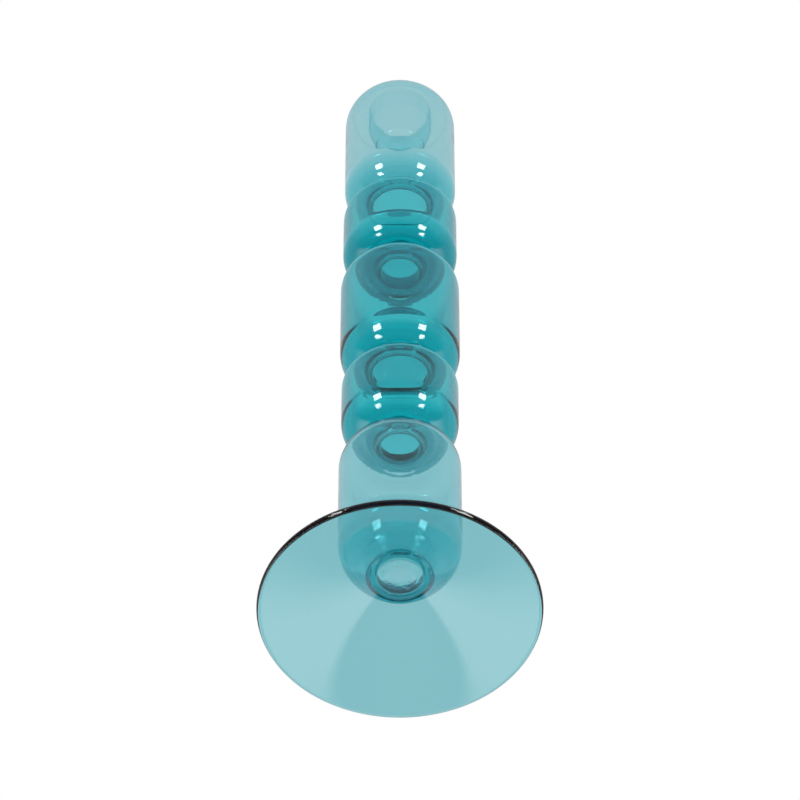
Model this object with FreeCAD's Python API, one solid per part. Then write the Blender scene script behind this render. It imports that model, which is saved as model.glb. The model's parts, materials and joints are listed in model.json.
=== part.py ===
import FreeCAD, Part
import math
import os
from collections import namedtuple

# A tall blown-glass candlestick. A wide conical foot carries five hollow bulbs, and the top bulb
# holds a socket for a taper candle. Everything is round about the Z axis. The origin is the centre
# of the ring that the foot stands on. Lengths are in millimetres and angles in degrees.

Neck = namedtuple("Neck", "name height throat pooled")
Bulb = namedtuple("Bulb", "name radius bowl shoulder")

# Glass thickness
TOP_WALL = 0.9              # the top bulb, its lip and the candle cup
LOW_WALL = 1.2              # side of the lowest bulb
MIDDLE_WALL = 2.8           # sides of the three middle bulbs
NECK_GLASS = 1.3            # radius of a throat less that of its bore
FOOT_GLASS = 2.4            # the foot's disc

# Necks. The throat is the radius outside. The bore stays narrow up to "pooled" above the throat,
# because the glass has run down and pooled on the floor of the bulb above.
NECKS = [
    Neck("neck_1_2", 90.0, 8.5, 3.0),
    Neck("neck_2_3", 130.5, 11.5, 3.0),
    Neck("neck_3_4", 192.5, 8.5, 4.5),
    Neck("neck_4_5", 232.0, 11.5, 2.2),
]
SEAM = 1.2                  # a neck ring reaches this far above and below its throat
THROAT_CURVE = 2.0          # outside of a throat
SHOULDER_CURVE = 3.3        # inside, from a shoulder into the bore
FLOOR_CURVE = 5.0           # inside, from the bore out over a bulb's floor
FLOOR_CORNER = 6.5          # inside, from a middle bulb's floor up into its side
TOP_FLOOR_CORNER = 9.5      # the same in the top bulb

# Middle bulbs, from the foot up: radius of the side, and curves of the bowl and the shoulder
MIDDLE_BULBS = [
    Bulb("bulb_2", 21.4, 12.5, 6.0),
    Bulb("bulb_3", 22.1, 13.5, 9.5),
    Bulb("bulb_4", 21.4, 10.0, 6.0),
]

# Lowest bulb, which stands on the foot
BULB_1 = Bulb("bulb_1", 22.1, 19.0, 11.0)
BULB_1_BOWL_HEIGHT = 37.3   # centre of the bowl's curve
BULB_1_FLOOR = 4.6          # glass on the axis, if the bowl were closed there
BULB_FOOT_FILLET = 0.8

# Top bulb and its candle socket
BULB_5 = Bulb("bulb_5", 21.1, 12.0, 13.0)
HEIGHT = 297.0              # top of the lip
LIP_CURVE = 1.5             # rounding of the lip
LIP_SEAM = 292.5            # the lip piece starts here
BORE_RADIUS = 11.25         # a 22 mm taper candle, with 0.25 mm to spare all round
BORE_BOTTOM = 285.0
CUP_TAPER_BOTTOM = 276.0
CUP_TAPER_RADIUS = 8.8
CUP_BOTTOM = 271.5
CUP_CORNER = 4.5

# Foot
FOOT_RADIUS = 50.0
RIM_SLOPE = 21.4            # of the disc where it meets the round rim
FOOT_CURVE = 280.0          # the disc steepens from the rim to the collar on this radius
REST_DEPTH = 0.05           # the round rim is worn flat by this much where it stands
COLLAR_RADIUS = 10.4
COLLAR_BORE = 8.4
COLLAR_EDGE = 0.8
PONTIL_THICKNESS = 1.8
PONTIL_HOLLOW = 0.7
PONTIL_RECESS = 0.3


def point(r, z):
    return FreeCAD.Vector(r, 0, z)


def line(start, end):
    return Part.makeLine(point(*start), point(*end))


def on_circle(centre, radius, angle):
    turn = math.radians(angle)
    return (centre[0] + radius * math.cos(turn), centre[1] + radius * math.sin(turn))


def arc(centre, radius, start, end):
    """Arc about a centre (r, z), from one angle to another, 0 pointing outwards and 90 up."""
    angles = (start, (start + end) / 2, end)
    return Part.Arc(*[point(*on_circle(centre, radius, angle)) for angle in angles]).toShape()


def direction(start, end):
    return math.degrees(math.atan2(end[1] - start[1], end[0] - start[0]))


def ends(edge):
    return edge.valueAt(edge.FirstParameter), edge.valueAt(edge.LastParameter)


def joined(edges):
    """The edges in order, with a straight line across every gap between them, closed to the start."""
    outline = []
    for edge, following in zip(edges, edges[1:] + edges[:1]):
        outline.append(edge)
        here = ends(edge)[1]
        there = ends(following)[0]
        if here.distanceToPoint(there) > 1e-6:
            outline.append(Part.makeLine(here, there))
    return outline


def backwards(edges):
    """The same edges, run through from the other end."""
    reversed_edges = []
    for edge in reversed(edges):
        start, end = ends(edge)
        if edge.Curve.TypeId == "Part::GeomLine":
            reversed_edges.append(Part.makeLine(end, start))
        else:
            middle = edge.valueAt((edge.FirstParameter + edge.LastParameter) / 2)
            reversed_edges.append(Part.Arc(end, middle, start).toShape())
    return reversed_edges


def turned(edges):
    """Solid of revolution about Z of a closed outline given as edges in order."""
    face = Part.Face(Part.Wire(joined(edges)))
    return face.revolve(FreeCAD.Vector(0, 0, 0), FreeCAD.Vector(0, 0, 1), 360)


def corner_centre(radius, corner, neck_curve, curve, side):
    """Centre of a bulb's corner that touches both its side and a neck's curve. neck_curve is that
    curve's centre. side is +1 for a corner above the neck, and -1 for one below it."""
    across = neck_curve[0] - (radius - corner)
    along = math.sqrt((corner + curve) ** 2 - across ** 2)
    return (radius - corner, neck_curve[1] + side * along)


def bore(neck):
    return neck.throat - NECK_GLASS


def bowl_outside(bulb, neck):
    """From the seam above a neck, round the bowl, to the bulb's straight side."""
    throat = (neck.throat + THROAT_CURVE, neck.height)
    bowl = corner_centre(bulb.radius, bulb.bowl, throat, THROAT_CURVE, 1)
    seam_angle = 180 - math.degrees(math.asin(SEAM / THROAT_CURVE))
    return [
        arc(throat, THROAT_CURVE, seam_angle, direction(throat, bowl)),
        arc(bowl, bulb.bowl, direction(bowl, throat), 0),
    ]


def bowl_inside(bulb, wall, floor_corner, neck):
    """From the seam above a neck, up the bore and over the pooled floor, to the straight side."""
    widening = (bore(neck) + FLOOR_CURVE, neck.height + neck.pooled)
    corner = corner_centre(bulb.radius - wall, floor_corner, widening, FLOOR_CURVE, 1)
    return [
        line((bore(neck), neck.height + SEAM), (bore(neck), widening[1])),
        arc(widening, FLOOR_CURVE, 180, direction(widening, corner)),
        arc(corner, floor_corner, direction(corner, widening), 0),
    ]


def shoulder_line(radius, corner, throat, curve, height):
    """From a bulb's straight side, round the shoulder, to the seam below a neck."""
    neck_curve = (throat + curve, height)
    shoulder = corner_centre(radius, corner, neck_curve, curve, -1)
    seam_angle = 180 + math.degrees(math.asin(SEAM / curve))
    return [
        arc(shoulder, corner, 0, direction(shoulder, neck_curve)),
        arc(neck_curve, curve, direction(neck_curve, shoulder) + 360, seam_angle),
    ]


def shoulder_outside(bulb, neck):
    return shoulder_line(bulb.radius, bulb.shoulder, neck.throat, THROAT_CURVE, neck.height)


def shoulder_inside(bulb, wall, neck):
    return shoulder_line(bulb.radius - wall, bulb.shoulder - wall, bore(neck), SHOULDER_CURVE, neck.height)


def middle_bulb(bulb, low_neck, high_neck):
    outside = bowl_outside(bulb, low_neck) + shoulder_outside(bulb, high_neck)
    inside = bowl_inside(bulb, MIDDLE_WALL, FLOOR_CORNER, low_neck)
    inside += shoulder_inside(bulb, MIDDLE_WALL, high_neck)
    return turned(outside + backwards(inside))


def neck_ring(neck):
    """The drawn-in ring of glass between two bulbs."""
    throat = (neck.throat + THROAT_CURVE, neck.height)
    half_turn = math.degrees(math.asin(SEAM / THROAT_CURVE))
    outside = arc(throat, THROAT_CURVE, 180 + half_turn, 180 - half_turn)
    bore_curve = (bore(neck) + SHOULDER_CURVE, neck.height)
    bore_turn = math.degrees(math.asin(SEAM / SHOULDER_CURVE))
    inside = [
        arc(bore_curve, SHOULDER_CURVE, 180 + bore_turn, 180),
        line((bore(neck), neck.height), (bore(neck), neck.height + SEAM)),
    ]
    return turned([outside] + backwards(inside))


def rim_centre():
    return (FOOT_RADIUS - FOOT_GLASS / 2, FOOT_GLASS / 2 - REST_DEPTH)


def foot_centre():
    """Centre of the long curve that the foot's two sides share."""
    reach = FOOT_CURVE + FOOT_GLASS / 2
    return on_circle(rim_centre(), reach, 90 - RIM_SLOPE)


def foot_side(radius, near, far):
    """One side of the foot's disc, from one distance from the axis out to another."""
    centre = foot_centre()
    angles = [270 - math.degrees(math.asin((centre[0] - r) / radius)) for r in (near, far)]
    return arc(centre, radius, *angles)


def foot_underside():
    radius = FOOT_CURVE + FOOT_GLASS
    return foot_side(radius, COLLAR_RADIUS, on_circle(foot_centre(), radius, 270 - RIM_SLOPE)[0])


def hub_height():
    """Underside of the foot at its collar."""
    return ends(foot_underside())[0].z


def foot():
    rim = rim_centre()
    rest_turn = math.degrees(math.acos(rim[1] / (FOOT_GLASS / 2)))
    upper_end = on_circle(foot_centre(), FOOT_CURVE, 270 - RIM_SLOPE)
    return turned([
        foot_underside(),
        arc(rim, FOOT_GLASS / 2, 270 - RIM_SLOPE, 270 - rest_turn),
        arc(rim, FOOT_GLASS / 2, 270 + rest_turn, 450 - RIM_SLOPE),
    ] + backwards([foot_side(FOOT_CURVE, COLLAR_RADIUS, upper_end[0])]))


def bulb_1_inside(neck):
    """Inside of the lowest bulb, from the collar up to the seam under the first neck."""
    radius = BULB_1.bowl - LOW_WALL
    centre = (BULB_1.radius - BULB_1.bowl, BULB_1_BOWL_HEIGHT + BULB_1_FLOOR - LOW_WALL)
    start = -math.degrees(math.acos((COLLAR_RADIUS - centre[0]) / radius))
    return [arc(centre, radius, start, 0)] + shoulder_inside(BULB_1, LOW_WALL, neck)


def foot_collar(top):
    """Thick ring of glass that the foot and the lowest bulb are both gathered on."""
    edge = arc((COLLAR_BORE + COLLAR_EDGE, top - COLLAR_EDGE), COLLAR_EDGE, 90, 180)
    outer_wall = line((COLLAR_RADIUS, hub_height()), (COLLAR_RADIUS, top))
    inner_wall = Part.makeLine(ends(edge)[1], point(COLLAR_BORE, hub_height()))
    return turned([outer_wall, edge, inner_wall])


def pontil_mark():
    """Disc that closes the collar, hollowed underneath where the rod was broken away."""
    low = hub_height() + PONTIL_RECESS
    high = low + PONTIL_THICKNESS
    middle = point(COLLAR_BORE / 2, low + 0.75 * PONTIL_HOLLOW)
    hollow = Part.Arc(point(0, low + PONTIL_HOLLOW), middle, point(COLLAR_BORE, low)).toShape()
    side = line((COLLAR_BORE, low), (COLLAR_BORE, high))
    top = line((COLLAR_BORE, high), (0, high))
    return turned([hollow, side, top])


def fillet_centre(bowl):
    """Centre of the fillet that touches the lowest bowl and the foot's upper side."""
    foot_curve = foot_centre()
    apart = math.dist(bowl, foot_curve)
    to_bowl = BULB_1.bowl + BULB_FOOT_FILLET
    to_foot = FOOT_CURVE - BULB_FOOT_FILLET
    corner = (to_bowl ** 2 + apart ** 2 - to_foot ** 2) / (2 * to_bowl * apart)
    return on_circle(bowl, to_bowl, direction(bowl, foot_curve) - math.degrees(math.acos(corner)))


def bulb_1(neck):
    """Lowest bulb. It stands on the foot round the collar, with a small fillet outside."""
    bowl = (BULB_1.radius - BULB_1.bowl, BULB_1_BOWL_HEIGHT)
    fillet = fillet_centre(bowl)
    foot_turn = direction(foot_centre(), fillet) + 360
    foot_touch = on_circle(fillet, BULB_FOOT_FILLET, foot_turn)
    outside = [
        foot_side(FOOT_CURVE, COLLAR_RADIUS, foot_touch[0]),
        arc(fillet, BULB_FOOT_FILLET, foot_turn, direction(fillet, bowl)),
        arc(bowl, BULB_1.bowl, direction(bowl, fillet), 0),
    ] + shoulder_outside(BULB_1, neck)
    return turned(outside + backwards(bulb_1_inside(neck)))


def lip_centre():
    return (BORE_RADIUS + LIP_CURVE, HEIGHT - LIP_CURVE)


def top_shoulder_centre():
    """The top shoulder's curve touches the bulb's side and runs on smoothly into the lip."""
    lip = lip_centre()
    centre_r = BULB_5.radius - BULB_5.shoulder
    across = lip[0] - centre_r
    along = math.sqrt((BULB_5.shoulder - LIP_CURVE) ** 2 - across ** 2)
    return (centre_r, lip[1] - along)


def seam_turn(centre, radius):
    """Angle at which a curve passes the seam under the lip."""
    return math.degrees(math.asin((LIP_SEAM - centre[1]) / radius))


def bulb_5(neck):
    """Top bulb, open above, where the lip closes it onto the candle cup."""
    centre = top_shoulder_centre()
    lines = [bowl_outside(BULB_5, neck), bowl_inside(BULB_5, TOP_WALL, TOP_FLOOR_CORNER, neck)]
    for side, radius in zip(lines, (BULB_5.shoulder, BULB_5.shoulder - TOP_WALL)):
        side.append(arc(centre, radius, 0, seam_turn(centre, radius)))
    return turned(lines[0] + backwards(lines[1]))


def cup_lip():
    """Rolled lip, folded over from the top bulb's shoulder into the candle cup."""
    shoulder = top_shoulder_centre()
    lip = lip_centre()
    inner_shoulder = BULB_5.shoulder - TOP_WALL
    cup_outside = BORE_RADIUS + TOP_WALL
    crease_height = shoulder[1] + math.sqrt(inner_shoulder ** 2 - (cup_outside - shoulder[0]) ** 2)
    crease_turn = direction(shoulder, (cup_outside, crease_height))
    return turned([
        arc(shoulder, BULB_5.shoulder, seam_turn(shoulder, BULB_5.shoulder), direction(shoulder, lip)),
        arc(lip, LIP_CURVE, direction(shoulder, lip), 180),
        line((BORE_RADIUS, lip[1]), (BORE_RADIUS, LIP_SEAM)),
        line((cup_outside, LIP_SEAM), (cup_outside, crease_height)),
        arc(shoulder, inner_shoulder, crease_turn, seam_turn(shoulder, inner_shoulder)),
    ])


def cup_line(offset):
    """Inside of the candle cup from its seam to the axis, or a line outside it by offset."""
    lean = math.atan2(BORE_RADIUS - CUP_TAPER_RADIUS, BORE_BOTTOM - CUP_TAPER_BOTTOM)
    corner = CUP_CORNER + offset
    floor = CUP_BOTTOM - offset
    taper_top = (BORE_RADIUS + offset, BORE_BOTTOM - offset * math.tan(lean / 2))
    # The corner's curve touches the tapered side and the floor.
    level_r = BORE_RADIUS + (offset - corner) / math.cos(lean)
    centre = (level_r - (BORE_BOTTOM - (floor + corner)) * math.tan(lean), floor + corner)
    return [
        line((BORE_RADIUS + offset, LIP_SEAM), taper_top),
        arc(centre, corner, -math.degrees(lean), -90),
        line((centre[0], floor), (0, floor)),
    ]


def joined_cup_line(offset):
    """cup_line with its tapered side drawn in, so that it can be run backwards."""
    straight, corner, floor = cup_line(offset)
    return [straight, Part.makeLine(ends(straight)[1], ends(corner)[0]), corner, floor]


def candle_cup():
    """Socket for a taper candle: a straight bore over a tapered, round-bottomed cup."""
    return turned(joined_cup_line(TOP_WALL) + backwards(joined_cup_line(0)))


def main():
    os.makedirs("parts", exist_ok=True)
    collar_top = ends(bulb_1_inside(NECKS[0])[0])[0].z
    solids = {
        "foot": foot(),
        "foot_collar": foot_collar(collar_top),
        "pontil_mark": pontil_mark(),
        "bulb_1": bulb_1(NECKS[0]),
        "bulb_5": bulb_5(NECKS[-1]),
        "candle_cup": candle_cup(),
        "cup_lip": cup_lip(),
    }
    for bulb, low_neck, high_neck in zip(MIDDLE_BULBS, NECKS, NECKS[1:]):
        solids[bulb.name] = middle_bulb(bulb, low_neck, high_neck)
    for neck in NECKS:
        solids[neck.name] = neck_ring(neck)
    for name, solid in solids.items():
        solid.exportStep("parts/" + name + ".step")
        print(f"{name:12s} valid {solid.isValid()}  volume {solid.Volume / 1000:7.3f} cm3")
    print(f"hub height {hub_height():.2f}  collar top {collar_top:.2f}")


main()
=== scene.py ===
import json
import math
from collections import namedtuple

import bpy
from mathutils import Matrix, Vector, noise


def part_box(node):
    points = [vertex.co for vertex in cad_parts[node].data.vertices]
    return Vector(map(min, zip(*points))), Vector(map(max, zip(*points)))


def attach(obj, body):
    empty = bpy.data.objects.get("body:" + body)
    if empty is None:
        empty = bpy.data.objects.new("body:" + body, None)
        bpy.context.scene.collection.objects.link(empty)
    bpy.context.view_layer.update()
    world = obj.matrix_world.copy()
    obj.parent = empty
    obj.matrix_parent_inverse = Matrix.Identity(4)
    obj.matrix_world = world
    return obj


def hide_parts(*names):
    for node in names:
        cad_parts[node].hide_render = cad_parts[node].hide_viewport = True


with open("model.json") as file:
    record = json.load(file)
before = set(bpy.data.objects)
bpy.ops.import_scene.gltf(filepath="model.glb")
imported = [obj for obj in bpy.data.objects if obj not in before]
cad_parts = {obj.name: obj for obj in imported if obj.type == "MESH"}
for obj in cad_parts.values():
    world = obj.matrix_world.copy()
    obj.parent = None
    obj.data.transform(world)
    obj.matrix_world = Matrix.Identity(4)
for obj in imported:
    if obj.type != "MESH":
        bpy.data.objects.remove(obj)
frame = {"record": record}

# A blown-glass candlestick, round about the Z axis. Lengths are in metres.
#
# Every CAD node gets a finer closed shell of clear glass in its place. An outline is a closed line of
# points (r, z), run through with the glass on its left, and it is turned about Z. Where two pieces are
# fused, one reaches LAP into the other, so that a ray enters the second before it leaves the first
# and goes straight on, as it does in one piece of glass.

Curves = namedtuple("Curves", "bowl shoulder")
Absorption = namedtuple("Absorption", "red green blue")
Wave = namedtuple("Wave", "size lobes twist swirl start")
Softbox = namedtuple("Softbox", "name direction wide tall power")
Range = namedtuple("Range", "low high")

# Glass thickness and the curves of the walls, as in the CAD model
TOP_WALL = 0.0009           # the top bulb, its lip and the candle cup
LOW_WALL = 0.0012           # side of the lowest bulb
MIDDLE_WALL = 0.0028        # sides of the three middle bulbs
NECK_GLASS = 0.0013         # radius of a throat less that of its bore
FOOT_GLASS = 0.0024
THROAT_CURVE = 0.002
SHOULDER_CURVE = 0.0033
FLOOR_CURVE = 0.005
FLOOR_CORNER = 0.0065
TOP_FLOOR_CORNER = 0.0095
LIP_CURVE = 0.0015
CUP_TAPER_RADIUS = 0.0088
CUP_TAPER_BOTTOM = 0.276
CUP_BOTTOM = 0.2715
CUP_CORNER = 0.0045
RIM_SLOPE = math.radians(21.4)
FOOT_CURVE = 0.280
REST_DEPTH = 0.00005
COLLAR_EDGE = 0.0008
PONTIL_HOLLOW = 0.0007
BULB_1_BOWL_HEIGHT = 0.0373
BULB_1_FLOOR = 0.0046
BULB_FOOT_FILLET = 0.0008
BULBS = {
    "bulb_1": Curves(0.019, 0.011),
    "bulb_2": Curves(0.0125, 0.006),
    "bulb_3": Curves(0.0135, 0.0095),
    "bulb_4": Curves(0.010, 0.006),
    "bulb_5": Curves(0.012, 0.013),
}
# The bore stays narrow up to this far above a neck's throat, under the glass pooled on the floor.
POOLED = {"neck_1_2": 0.003, "neck_2_3": 0.003, "neck_3_4": 0.0045, "neck_4_5": 0.0022}

# Ridge of broken glass that the rod leaves on the pontil mark
SCAR_RADIUS = 0.0058
SCAR_WIDTH = 0.0012
SCAR_RIDGE = 0.0003
SCAR_CHIPS = 0.0002
RIDGE_LEVEL = 0.5
RIDGE_FREQUENCY = 420
CHIP_FREQUENCY = 1100
CHIP_OFFSET = Vector((7, 3, 1))

# Meshes
LAP = 0.00001
SAME_POINT = LAP / 20
ON_AXIS = 1e-9
SEGMENTS = 224              # round the Z axis
ARC_STEP = math.radians(3)
FEWEST_ARC_STEPS = 6
PONTIL_STEPS = 40
LONGEST_EDGE = 0.003
SHARP_ANGLE = math.radians(35)

# Hand-blown glass is a little out of round: waves in the radius, with a number of lobes round the
# axis, that twist with the height and swirl with the radius.
OUT_OF_ROUND = 0.0011
BLOWN_WAVES = (
    Wave(0.9, 2, 1000 / 31, 0, 0.7),
    Wave(0.5, 3, -1000 / 17, 0, 2.1),
    Wave(0.3, 5, 1000 / 9, 800, 0),
)

# Glass
REFRACTION = 1.47
THIN_GLASS = Absorption(410, 83, 66)
THICK_GLASS = Absorption(680, 88, 74)
TINT = (0.985, 0.995, 1.0)  # in faint clouds on the surface
CLOUD_SCALE = (70, 70, 110)
CLOUD_DETAIL = 3.0
CLOUD_RANGE = Range(0.35, 0.65)
WAVES = 0.00003             # height of the faint waves left by turning and blowing
STRIAE_SCALE = (35, 35, 200)
STRIAE_DETAIL = 2.0
SCAR_GRAIN = 0.00004
SCAR_SCALE = (500, 500, 500)
MARK_SCALE = (900, 900, 1400)
MARK_DETAIL = 4.0
MARK_RANGE = Range(0.6, 0.75)
MARK_ROUGHNESS = 0.03
SCAR_ROUGHNESS = 0.1

# Floor
FLOOR_REACH = 20.0
FLOOR_DROP = 0.0003
FLOOR_GREY = 0.9
FLOOR_ROUGHNESS = 0.8

# Light. Through the glass one sees a pale table top on one side of a plane, and a room on the other.
WHITE = (1.0, 1.0, 1.0)
TABLE_NORMAL = Vector((0, 1, 0.1014)).normalized()
TABLE_MIDDLE = (0.8, 0.8, 0.8)
TABLE_SIDES = (3.0, 2.9, 2.9)
TABLE_FAR = (0.66, 0.66, 0.69)
ROOM = (0.18, 0.15, 0.16)
ROOM_HIGH = (0.62, 0.63, 0.67)
DOME = (0.95, 0.95, 0.95)
SIDES_RANGE = Range(0.1, 0.5)
FAR_RANGE = Range(-0.7, -0.2)
ROOM_HIGH_RANGE = Range(-0.35, 0.1)
TABLE_EDGE_RANGE = Range(-0.05, 0.05)
LAMP_TARGET = Vector((0, 0, 0.1))
LAMP_DISTANCE = 1.5
SOFTBOXES = [
    Softbox("softbox_left", (-0.64, -0.76, -0.16), 0.35, 0.5, 12),
    Softbox("low_softbox_left", (-0.60, -0.55, -0.62), 0.22, 0.35, 5),
    Softbox("softbox_right", (0.64, -0.76, -0.16), 0.35, 0.5, 12),
    Softbox("low_softbox_right", (0.60, -0.55, -0.62), 0.22, 0.35, 5),
]

# Camera
SENSOR_WIDTH = 36
LENS = 245.7
CLIP_END = 100
CAMERA_PLACE = (0, -1.250, -1.434)
CAMERA_FORWARD = Vector((0, 0.6273, 0.7788)).normalized()
BOUNCES = 40
GLOSSY_BOUNCES = 16


def box_radius(node):
    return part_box(node)[1].x


def box_heights(node):
    low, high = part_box(node)
    return low.z, high.z


candle_socket = {mount["name"]: mount for mount in frame["record"]["mounts"]}["candle_socket"]
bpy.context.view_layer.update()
FOOT_RADIUS = box_radius("foot")
HUB_HEIGHT, COLLAR_TOP = box_heights("foot_collar")
COLLAR_RADIUS = box_radius("foot_collar")
PONTIL_LOW, PONTIL_HIGH = box_heights("pontil_mark")
COLLAR_BORE = box_radius("pontil_mark")
LIP_SEAM, HEIGHT = box_heights("cup_lip")
BORE_RADIUS = candle_socket["dims"]["r_mm"] / 1000
BORE_BOTTOM = candle_socket["pos_m"][2] - candle_socket["dims"]["length_mm"] / 2000
SEAM = (box_heights("neck_1_2")[1] - box_heights("neck_1_2")[0]) / 2


# ---------------------------------------------------------------- outlines

def on_circle(centre, radius, angle):
    return (centre[0] + radius * math.cos(angle), centre[1] + radius * math.sin(angle))


def direction(start, end):
    return math.atan2(end[1] - start[1], end[0] - start[0])


def arc(centre, radius, start, end):
    """Points of an arc about a centre (r, z). Angle 0 points outwards and a quarter turn points up."""
    reach = abs(end - start)
    steps = max(FEWEST_ARC_STEPS, math.ceil(reach / ARC_STEP), math.ceil(reach * radius / LONGEST_EDGE))
    return [on_circle(centre, radius, start + (end - start) * i / steps) for i in range(steps + 1)]


def corner_centre(radius, corner, neck_curve, curve, side):
    """Centre of a corner that touches a bulb's side and a neck's curve, side +1 above it, -1 below."""
    across = neck_curve[0] - (radius - corner)
    along = math.sqrt((corner + curve) ** 2 - across ** 2)
    return (radius - corner, neck_curve[1] + side * along)


def bowl_line(radius, corner, throat, curve, height, start=math.pi):
    """From the angle start of a neck's curve, round a bowl, to the bulb's straight side."""
    neck_curve = (throat + curve, height)
    centre = corner_centre(radius, corner, neck_curve, curve, 1)
    low = arc(neck_curve, curve, start, direction(neck_curve, centre))
    return low + arc(centre, corner, direction(centre, neck_curve), 0)


def shoulder_line(radius, corner, throat, curve, height):
    """From a bulb's straight side, round the shoulder, to the seam below a neck."""
    neck_curve = (throat + curve, height)
    centre = corner_centre(radius, corner, neck_curve, curve, -1)
    high_turn = direction(centre, neck_curve)
    seam_turn = math.pi + math.asin(SEAM / curve)
    return arc(centre, corner, 0, high_turn) + arc(neck_curve, curve, high_turn + math.pi, seam_turn)


def neck_height(neck):
    return sum(box_heights(neck)) / 2


def throat_radius(neck):
    return box_radius(neck) - THROAT_CURVE + math.sqrt(THROAT_CURVE ** 2 - SEAM ** 2)


def bore_radius(neck):
    return throat_radius(neck) - NECK_GLASS


def bowl_outside(bulb, neck):
    start = math.pi - math.asin(SEAM / THROAT_CURVE)
    return bowl_line(box_radius(bulb), BULBS[bulb].bowl, throat_radius(neck), THROAT_CURVE,
                     neck_height(neck), start)


def bowl_inside(bulb, wall, floor_corner, neck):
    """From the seam above a neck, up the bore and over the pooled floor, to the straight side."""
    low = (bore_radius(neck), neck_height(neck) + SEAM)
    return [low] + bowl_line(box_radius(bulb) - wall, floor_corner, bore_radius(neck), FLOOR_CURVE,
                             neck_height(neck) + POOLED[neck])


def shoulder_outside(bulb, neck):
    return shoulder_line(box_radius(bulb), BULBS[bulb].shoulder, throat_radius(neck), THROAT_CURVE,
                         neck_height(neck))


def shoulder_inside(bulb, wall, neck):
    return shoulder_line(box_radius(bulb) - wall, BULBS[bulb].shoulder - wall, bore_radius(neck),
                         SHOULDER_CURVE, neck_height(neck))


def middle_bulb(bulb, low_neck, high_neck):
    outside = bowl_outside(bulb, low_neck) + shoulder_outside(bulb, high_neck)
    inside = bowl_inside(bulb, MIDDLE_WALL, FLOOR_CORNER, low_neck)
    inside += shoulder_inside(bulb, MIDDLE_WALL, high_neck)
    return outside + inside[::-1]


def neck_ring(neck):
    """Drawn-in ring of glass between two bulbs, which reaches LAP into both."""
    height = neck_height(neck)
    reach = SEAM + LAP
    throat = throat_radius(neck)
    bore = bore_radius(neck)
    half_turn = math.asin(reach / THROAT_CURVE)
    outside = arc((throat + THROAT_CURVE, height), THROAT_CURVE, math.pi + half_turn, math.pi - half_turn)
    bore_turn = math.asin(reach / SHOULDER_CURVE)
    inside = arc((bore + SHOULDER_CURVE, height), SHOULDER_CURVE, math.pi + bore_turn, math.pi)
    inside.append((bore, height + reach))
    return outside + inside[::-1]


def rim_centre():
    return (FOOT_RADIUS - FOOT_GLASS / 2, FOOT_GLASS / 2 - REST_DEPTH)


def foot_centre():
    """Centre of the long curve that the foot's two sides share."""
    return on_circle(rim_centre(), FOOT_CURVE + FOOT_GLASS / 2, math.pi / 2 - RIM_SLOPE)


def foot_side(radius, near, far):
    """One side of the foot's disc, from one distance from the axis out to another."""
    centre = foot_centre()
    turns = [math.pi * 1.5 - math.asin((centre[0] - r) / radius) for r in (near, far)]
    return arc(centre, radius, *turns)


def foot():
    rim = rim_centre()
    rest_turn = math.acos(rim[1] / (FOOT_GLASS / 2))
    side_turn = math.pi * 1.5 - RIM_SLOPE
    low_curve = FOOT_CURVE + FOOT_GLASS
    underside = foot_side(low_curve, COLLAR_RADIUS, on_circle(foot_centre(), low_curve, side_turn)[0])
    inner_rim = arc(rim, FOOT_GLASS / 2, side_turn, math.pi * 1.5 - rest_turn)
    outer_rim = arc(rim, FOOT_GLASS / 2, math.pi * 1.5 + rest_turn, side_turn + math.pi)
    upper = foot_side(FOOT_CURVE, COLLAR_RADIUS, on_circle(foot_centre(), FOOT_CURVE, side_turn)[0])
    return underside + inner_rim + outer_rim + upper[::-1]


def foot_collar():
    """Thick ring of glass that the foot and the lowest bulb are both gathered on."""
    edge = arc((COLLAR_BORE + COLLAR_EDGE, COLLAR_TOP - COLLAR_EDGE), COLLAR_EDGE, math.pi / 2, math.pi)
    wide = COLLAR_RADIUS + LAP
    return [(wide, HUB_HEIGHT), (wide, COLLAR_TOP)] + edge + [(COLLAR_BORE, HUB_HEIGHT)]


def pontil_mark():
    """Disc with fine steps across its hollow underside, so that scar() has points to move."""
    wide = COLLAR_BORE + LAP
    shares = [i / PONTIL_STEPS for i in range(PONTIL_STEPS + 1)]
    hollow = [(wide * share, PONTIL_LOW + PONTIL_HOLLOW * (1 - share ** 2)) for share in shares]
    top = [(wide * share, PONTIL_HIGH) for share in reversed(shares)]
    return hollow + top


def fillet_centre(bowl):
    """Centre of the fillet that touches the lowest bowl and the foot's upper side."""
    foot_curve = foot_centre()
    apart = math.dist(bowl, foot_curve)
    to_bowl = BULBS["bulb_1"].bowl + BULB_FOOT_FILLET
    to_foot = FOOT_CURVE - BULB_FOOT_FILLET
    corner = (to_bowl ** 2 + apart ** 2 - to_foot ** 2) / (2 * to_bowl * apart)
    return on_circle(bowl, to_bowl, direction(bowl, foot_curve) - math.acos(corner))


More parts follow.
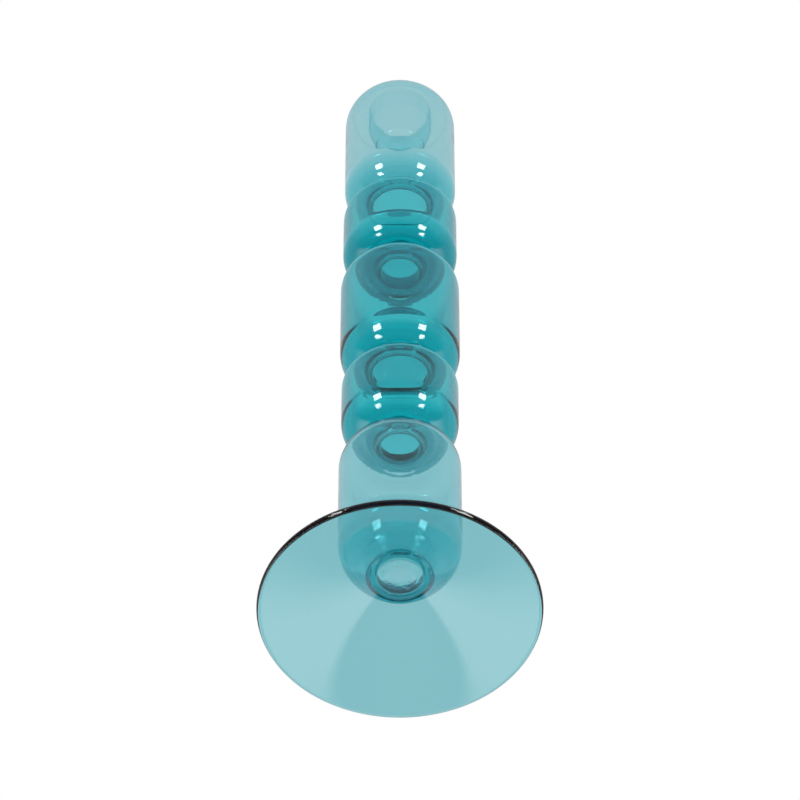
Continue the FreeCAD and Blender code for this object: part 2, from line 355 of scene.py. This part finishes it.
def bulb_1():
    """Lowest bulb. It stands on the foot round the collar, with a small fillet outside."""
    curves = BULBS["bulb_1"]
    bowl = (box_radius("bulb_1") - curves.bowl, BULB_1_BOWL_HEIGHT)
    fillet = fillet_centre(bowl)
    foot_turn = direction(foot_centre(), fillet) + math.tau
    touch = on_circle(fillet, BULB_FOOT_FILLET, foot_turn)
    under = foot_side(FOOT_CURVE + LAP, COLLAR_RADIUS, touch[0])
    outside = under + arc(fillet, BULB_FOOT_FILLET, foot_turn, direction(fillet, bowl))
    outside += arc(bowl, curves.bowl, direction(bowl, fillet), 0)
    outside += shoulder_outside("bulb_1", "neck_1_2")
    inner_bowl = (bowl[0], BULB_1_BOWL_HEIGHT + BULB_1_FLOOR - LOW_WALL)
    inner_radius = curves.bowl - LOW_WALL
    start = -math.acos((COLLAR_RADIUS - bowl[0]) / inner_radius)
    inside = arc(inner_bowl, inner_radius, start, 0) + shoulder_inside("bulb_1", LOW_WALL, "neck_1_2")
    return outside + inside[::-1]


def lip_centre():
    return (BORE_RADIUS + LIP_CURVE, HEIGHT - LIP_CURVE)


def top_shoulder_centre():
    """The top shoulder's curve touches the bulb's side and runs on smoothly into the lip."""
    lip = lip_centre()
    shoulder = BULBS["bulb_5"].shoulder
    centre_r = box_radius("bulb_5") - shoulder
    return (centre_r, lip[1] - math.sqrt((shoulder - LIP_CURVE) ** 2 - (lip[0] - centre_r) ** 2))


def bulb_5():
    """Top bulb, open above, where the lip closes it onto the candle cup."""
    centre = top_shoulder_centre()
    shoulder = BULBS["bulb_5"].shoulder
    inside = bowl_inside("bulb_5", TOP_WALL, TOP_FLOOR_CORNER, "neck_4_5")
    sides = [bowl_outside("bulb_5", "neck_4_5"), inside]
    for side, radius in zip(sides, (shoulder, shoulder - TOP_WALL)):
        side += arc(centre, radius, 0, math.asin((LIP_SEAM - centre[1]) / radius))
    return sides[0] + sides[1][::-1]


def cup_lip():
    """Rolled lip, folded over from the top bulb's shoulder into the candle cup."""
    centre = top_shoulder_centre()
    lip = lip_centre()
    seam = LIP_SEAM - LAP
    outer = BULBS["bulb_5"].shoulder
    inner = outer - TOP_WALL
    cup_outside = BORE_RADIUS + TOP_WALL
    crease = (cup_outside, centre[1] + math.sqrt(inner ** 2 - (cup_outside - centre[0]) ** 2))
    seam_turns = [math.asin((seam - centre[1]) / radius) for radius in (outer, inner)]
    outline = arc(centre, outer, seam_turns[0], direction(centre, lip))
    outline += arc(lip, LIP_CURVE, direction(centre, lip), math.pi)
    outline += [(BORE_RADIUS, seam), (cup_outside, seam)]
    return outline + arc(centre, inner, direction(centre, crease), seam_turns[1])


def cup_line(offset):
    """Inside of the candle cup from its seam to the axis, or a line outside it by offset."""
    lean = math.atan2(BORE_RADIUS - CUP_TAPER_RADIUS, BORE_BOTTOM - CUP_TAPER_BOTTOM)
    corner = CUP_CORNER + offset
    floor_height = CUP_BOTTOM - offset
    corner_height = floor_height + corner
    # The corner's curve touches the tapered side and the floor.
    level_r = BORE_RADIUS + (offset - corner) / math.cos(lean)
    centre = (level_r - (BORE_BOTTOM - corner_height) * math.tan(lean), corner_height)
    taper_top = (BORE_RADIUS + offset, BORE_BOTTOM - offset * math.tan(lean / 2))
    side = [(BORE_RADIUS + offset, LIP_SEAM), taper_top]
    return side + arc(centre, corner, -lean, -math.pi / 2) + [(0, floor_height)]


def candle_cup():
    """Socket for a taper candle: a straight bore over a tapered, round-bottomed cup."""
    return cup_line(TOP_WALL)[::-1] + cup_line(0)


# ---------------------------------------------------------------- meshes

def tidy_outline(points):
    """The outline without repeated points, and with its long straights cut into short ones."""
    kept = []
    for following in points + points[:1]:
        if kept:
            here = kept[-1]
            apart = math.dist(here, following)
            if apart < SAME_POINT:
                continue
            along_axis = here[0] < ON_AXIS and following[0] < ON_AXIS
            steps = 1 if along_axis else math.ceil(apart / LONGEST_EDGE)
            for i in range(1, steps):
                share = i / steps
                kept.append((here[0] + (following[0] - here[0]) * share,
                             here[1] + (following[1] - here[1]) * share))
        kept.append(following)
    return kept[:-1]


def blown(r, z, turn):
    """Radius of a point once the glass has sagged a little out of round."""
    waves = [wave.size * math.cos(wave.lobes * turn + wave.twist * z + wave.swirl * r + wave.start)
             for wave in BLOWN_WAVES]
    return r * (1 + OUT_OF_ROUND * sum(waves))


def scar(place):
    """Downward step of the broken glass under the pontil mark, for a point (x, y, z)."""
    r = math.hypot(place[0], place[1])
    if place[2] > PONTIL_HIGH - LAP:
        return 0
    fade = min(1, max(0, (COLLAR_BORE - r) / SCAR_WIDTH))
    ridge = SCAR_RIDGE * math.exp(-((r - SCAR_RADIUS) / SCAR_WIDTH) ** 2)
    broken = RIDGE_LEVEL + noise.noise(Vector(place) * RIDGE_FREQUENCY)
    chips = SCAR_CHIPS * abs(noise.noise(Vector(place) * CHIP_FREQUENCY + CHIP_OFFSET))
    return fade * (ridge * broken + chips)


def lathe(name, outline, relief=None):
    """Closed mesh of an outline turned about Z. A relief gives each point's downward step."""
    vertices = []
    rings = []
    for r, z in tidy_outline(outline):
        first = len(vertices)
        if r < ON_AXIS:
            vertices.append((0, 0, z))
            rings.append([first] * SEGMENTS)
            continue
        for i in range(SEGMENTS):
            turn = math.tau * i / SEGMENTS
            wide = blown(r, z, turn)
            place = (wide * math.cos(turn), wide * math.sin(turn), z)
            step = relief(place) if relief else 0
            vertices.append((place[0], place[1], z - step))
        rings.append(list(range(first, first + SEGMENTS)))
    faces = []
    for low, high in zip(rings, rings[1:] + rings[:1]):
        if low[0] == low[1] and high[0] == high[1]:
            continue
        for i in range(SEGMENTS):
            j = (i + 1) % SEGMENTS
            corners = [low[i], low[j], high[j], high[i]]
            faces.append(list(dict.fromkeys(corners)))
    mesh = bpy.data.meshes.new(name)
    mesh.from_pydata(vertices, [], faces)
    mesh.shade_smooth()
    mesh.set_sharp_from_angle(angle=SHARP_ANGLE)
    return mesh


# ---------------------------------------------------------------- materials

def new_material(name):
    material = bpy.data.materials.new(name)
    material.use_nodes = True
    material.node_tree.nodes.clear()
    return material, material.node_tree


def stretched_noise(tree, scale, detail):
    """Noise in the piece's own coordinates, with its own scale along each axis, as a socket."""
    nodes, link = tree.nodes, tree.links.new
    stretch = nodes.new("ShaderNodeMapping")
    stretch.inputs["Scale"].default_value = scale
    link(nodes.new("ShaderNodeTexCoord").outputs["Object"], stretch.inputs["Vector"])
    texture = nodes.new("ShaderNodeTexNoise")
    texture.inputs["Scale"].default_value = 1
    texture.inputs["Detail"].default_value = detail
    link(stretch.outputs["Vector"], texture.inputs["Vector"])
    return texture.outputs["Fac"]


def remapped(tree, value, limits, end=1.0):
    """The value as a share of the way through a range, times end."""
    node = tree.nodes.new("ShaderNodeMapRange")
    numbers = (("From Min", limits.low), ("From Max", limits.high), ("To Min", 0.0), ("To Max", end))
    for name, number in numbers:
        node.inputs[name].default_value = number
    tree.links.new(value, node.inputs["Value"])
    return node.outputs["Result"]


def blended(tree, share, low, high):
    """Mix of two colours, each given as a tuple or as another node's socket."""
    node = tree.nodes.new("ShaderNodeMix")
    node.data_type = "RGBA"
    tree.links.new(share, node.inputs[0])
    for value, socket in ((low, node.inputs[6]), (high, node.inputs[7])):
        if isinstance(value, tuple):
            socket.default_value = (*value, 1)
        else:
            tree.links.new(value, socket)
    return node.outputs[2]


def glass(name, absorption, relief, scale, roughness):
    """Clear glass that takes its colour from its depth. The relief is the height of the faint
    waves left by blowing and turning, and scale says how close they lie along each axis."""
    material, tree = new_material(name)
    nodes, link = tree.nodes, tree.links.new
    output = nodes.new("ShaderNodeOutputMaterial")
    surface = nodes.new("ShaderNodeBsdfPrincipled")
    surface.inputs["IOR"].default_value = REFRACTION
    surface.inputs["Transmission Weight"].default_value = 1
    link(surface.outputs[0], output.inputs["Surface"])

    bump = nodes.new("ShaderNodeBump")
    bump.inputs["Strength"].default_value = 1
    bump.inputs["Distance"].default_value = relief
    link(stretched_noise(tree, scale, STRIAE_DETAIL), bump.inputs["Height"])
    link(bump.outputs["Normal"], surface.inputs["Normal"])

    clouds = remapped(tree, stretched_noise(tree, CLOUD_SCALE, CLOUD_DETAIL), CLOUD_RANGE)
    link(blended(tree, clouds, WHITE, TINT), surface.inputs["Base Color"])

    marks = stretched_noise(tree, MARK_SCALE, MARK_DETAIL)
    link(remapped(tree, marks, MARK_RANGE, roughness), surface.inputs["Roughness"])

    volume = nodes.new("ShaderNodeVolumeAbsorption")
    density = max(absorption)
    volume.inputs["Color"].default_value = (*[1 - part / density for part in absorption], 1)
    volume.inputs["Density"].default_value = density
    link(volume.outputs[0], output.inputs["Volume"])
    return material


MATERIALS = {
    "teal_glass": glass("teal_glass", THIN_GLASS, WAVES, STRIAE_SCALE, MARK_ROUGHNESS),
    "thick_teal_glass": glass("thick_teal_glass", THICK_GLASS, WAVES, STRIAE_SCALE, MARK_ROUGHNESS),
    "pontil_glass": glass("pontil_glass", THIN_GLASS, SCAR_GRAIN, SCAR_SCALE, SCAR_ROUGHNESS),
}


# ---------------------------------------------------------------- pieces

SLOTS = {part["node"]: part["material_slot"] for part in frame["record"]["subparts"]}
RELIEFS = {"pontil_mark": scar}


def add_piece(node, outline):
    mesh = lathe(node + "_glass", outline, RELIEFS.get(node))
    slot = SLOTS[node]
    mesh.materials.append(MATERIALS[slot])
    piece = bpy.data.objects.new(node + "_glass", mesh)
    bpy.context.scene.collection.objects.link(piece)
    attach(piece, "root")
    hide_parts(node)


outlines = {
    "foot": foot(),
    "foot_collar": foot_collar(),
    "pontil_mark": pontil_mark(),
    "bulb_1": bulb_1(),
    "bulb_2": middle_bulb("bulb_2", "neck_1_2", "neck_2_3"),
    "bulb_3": middle_bulb("bulb_3", "neck_2_3", "neck_3_4"),
    "bulb_4": middle_bulb("bulb_4", "neck_3_4", "neck_4_5"),
    "bulb_5": bulb_5(),
    "candle_cup": candle_cup(),
    "cup_lip": cup_lip(),
}
outlines.update({neck: neck_ring(neck) for neck in POOLED})
for node, outline in outlines.items():
    add_piece(node, outline)


# ---------------------------------------------------------------- floor

def floor_material():
    """Pale and matt from above, and clear from below, so that the foot shows from underneath."""
    material, tree = new_material("pale_floor")
    nodes, link = tree.nodes, tree.links.new
    output = nodes.new("ShaderNodeOutputMaterial")
    surface = nodes.new("ShaderNodeBsdfPrincipled")
    surface.inputs["Base Color"].default_value = (FLOOR_GREY, FLOOR_GREY, FLOOR_GREY, 1)
    surface.inputs["Roughness"].default_value = FLOOR_ROUGHNESS
    surface.inputs["Specular IOR Level"].default_value = 0
    clear = nodes.new("ShaderNodeBsdfTransparent")
    geometry = nodes.new("ShaderNodeNewGeometry")
    mix = nodes.new("ShaderNodeMixShader")
    link(geometry.outputs["Backfacing"], mix.inputs[0])
    link(surface.outputs[0], mix.inputs[1])
    link(clear.outputs[0], mix.inputs[2])
    link(mix.outputs[0], output.inputs["Surface"])
    return material


def add_floor():
    mesh = bpy.data.meshes.new("floor")
    signs = ((-1, -1), (1, -1), (1, 1), (-1, 1))
    corners = [(FLOOR_REACH * x, FLOOR_REACH * y, 0) for x, y in signs]
    mesh.from_pydata(corners, [], [(0, 1, 2, 3)])
    mesh.materials.append(floor_material())
    floor = bpy.data.objects.new("floor", mesh)
    floor.location.z = -FLOOR_DROP
    bpy.context.scene.collection.objects.link(floor)
    floor.visible_glossy = False


add_floor()


# ---------------------------------------------------------------- light

def smooth_share(tree, value, limits):
    node = tree.nodes.new("ShaderNodeMapRange")
    node.interpolation_type = "SMOOTHSTEP"
    node.inputs["From Min"].default_value = limits.low
    node.inputs["From Max"].default_value = limits.high
    tree.links.new(value, node.inputs["Value"])
    return node.outputs["Result"]


def build_world():
    """White behind the candlestick, an even dome on the floor, and the table and the room in the
    glass."""
    world = bpy.data.worlds.new("studio")
    bpy.context.scene.world = world
    world.use_nodes = True
    tree = world.node_tree
    nodes, link = tree.nodes, tree.links.new
    nodes.clear()
    ray = nodes.new("ShaderNodeTexCoord").outputs["Generated"]
    towards_table = nodes.new("ShaderNodeVectorMath")
    towards_table.operation = "DOT_PRODUCT"
    towards_table.inputs[1].default_value = TABLE_NORMAL
    link(ray, towards_table.inputs[0])
    split = nodes.new("ShaderNodeSeparateXYZ")
    link(ray, split.inputs[0])
    sideways = nodes.new("ShaderNodeMath")
    sideways.operation = "ABSOLUTE"
    link(split.outputs["X"], sideways.inputs[0])
    upwards = split.outputs["Z"]
    near = blended(tree, smooth_share(tree, sideways.outputs[0], SIDES_RANGE), TABLE_MIDDLE, TABLE_SIDES)
    table = blended(tree, smooth_share(tree, upwards, FAR_RANGE), near, TABLE_FAR)
    room = blended(tree, smooth_share(tree, upwards, ROOM_HIGH_RANGE), ROOM, ROOM_HIGH)
    side_of_edge = smooth_share(tree, towards_table.outputs["Value"], TABLE_EDGE_RANGE)
    seen_in_glass = blended(tree, side_of_edge, room, table)
    path = nodes.new("ShaderNodeLightPath")
    lit = blended(tree, path.outputs["Diffuse Depth"], seen_in_glass, DOME)
    shown = blended(tree, path.outputs["Is Camera Ray"], lit, WHITE)
    background = nodes.new("ShaderNodeBackground")
    link(shown, background.inputs["Color"])
    output = nodes.new("ShaderNodeOutputWorld")
    link(background.outputs[0], output.inputs[0])


def add_softbox(softbox):
    """Soft lamp beside the camera. It shows only as highlights on the glass."""
    lamp = bpy.data.lights.new(softbox.name, "AREA")
    lamp.shape = "RECTANGLE"
    lamp.size = softbox.wide
    lamp.size_y = softbox.tall
    lamp.energy = softbox.power
    box = bpy.data.objects.new(softbox.name, lamp)
    bpy.context.scene.collection.objects.link(box)
    box.location = LAMP_TARGET + LAMP_DISTANCE * Vector(softbox.direction).normalized()
    box.rotation_euler = (LAMP_TARGET - box.location).to_track_quat("-Z", "Y").to_euler()
    box.visible_camera = False
    box.visible_diffuse = False


build_world()
for softbox in SOFTBOXES:
    add_softbox(softbox)


# ---------------------------------------------------------------- camera

def build_camera():
    data = bpy.data.cameras.new("camera")
    data.sensor_width = SENSOR_WIDTH
    data.lens = LENS
    data.clip_end = CLIP_END
    camera = bpy.data.objects.new("camera", data)
    bpy.context.scene.collection.objects.link(camera)
    right = Vector((1, 0, 0))
    up = right.cross(CAMERA_FORWARD)
    turn = Matrix((right, up, -CAMERA_FORWARD)).transposed()
    camera.matrix_world = Matrix.Translation(CAMERA_PLACE) @ turn.to_4x4()
    bpy.context.scene.camera = camera


build_camera()
scene = bpy.context.scene
scene.view_settings.view_transform = "Standard"
scene.cycles.max_bounces = BOUNCES
scene.cycles.transmission_bounces = BOUNCES
scene.cycles.glossy_bounces = GLOSSY_BOUNCES
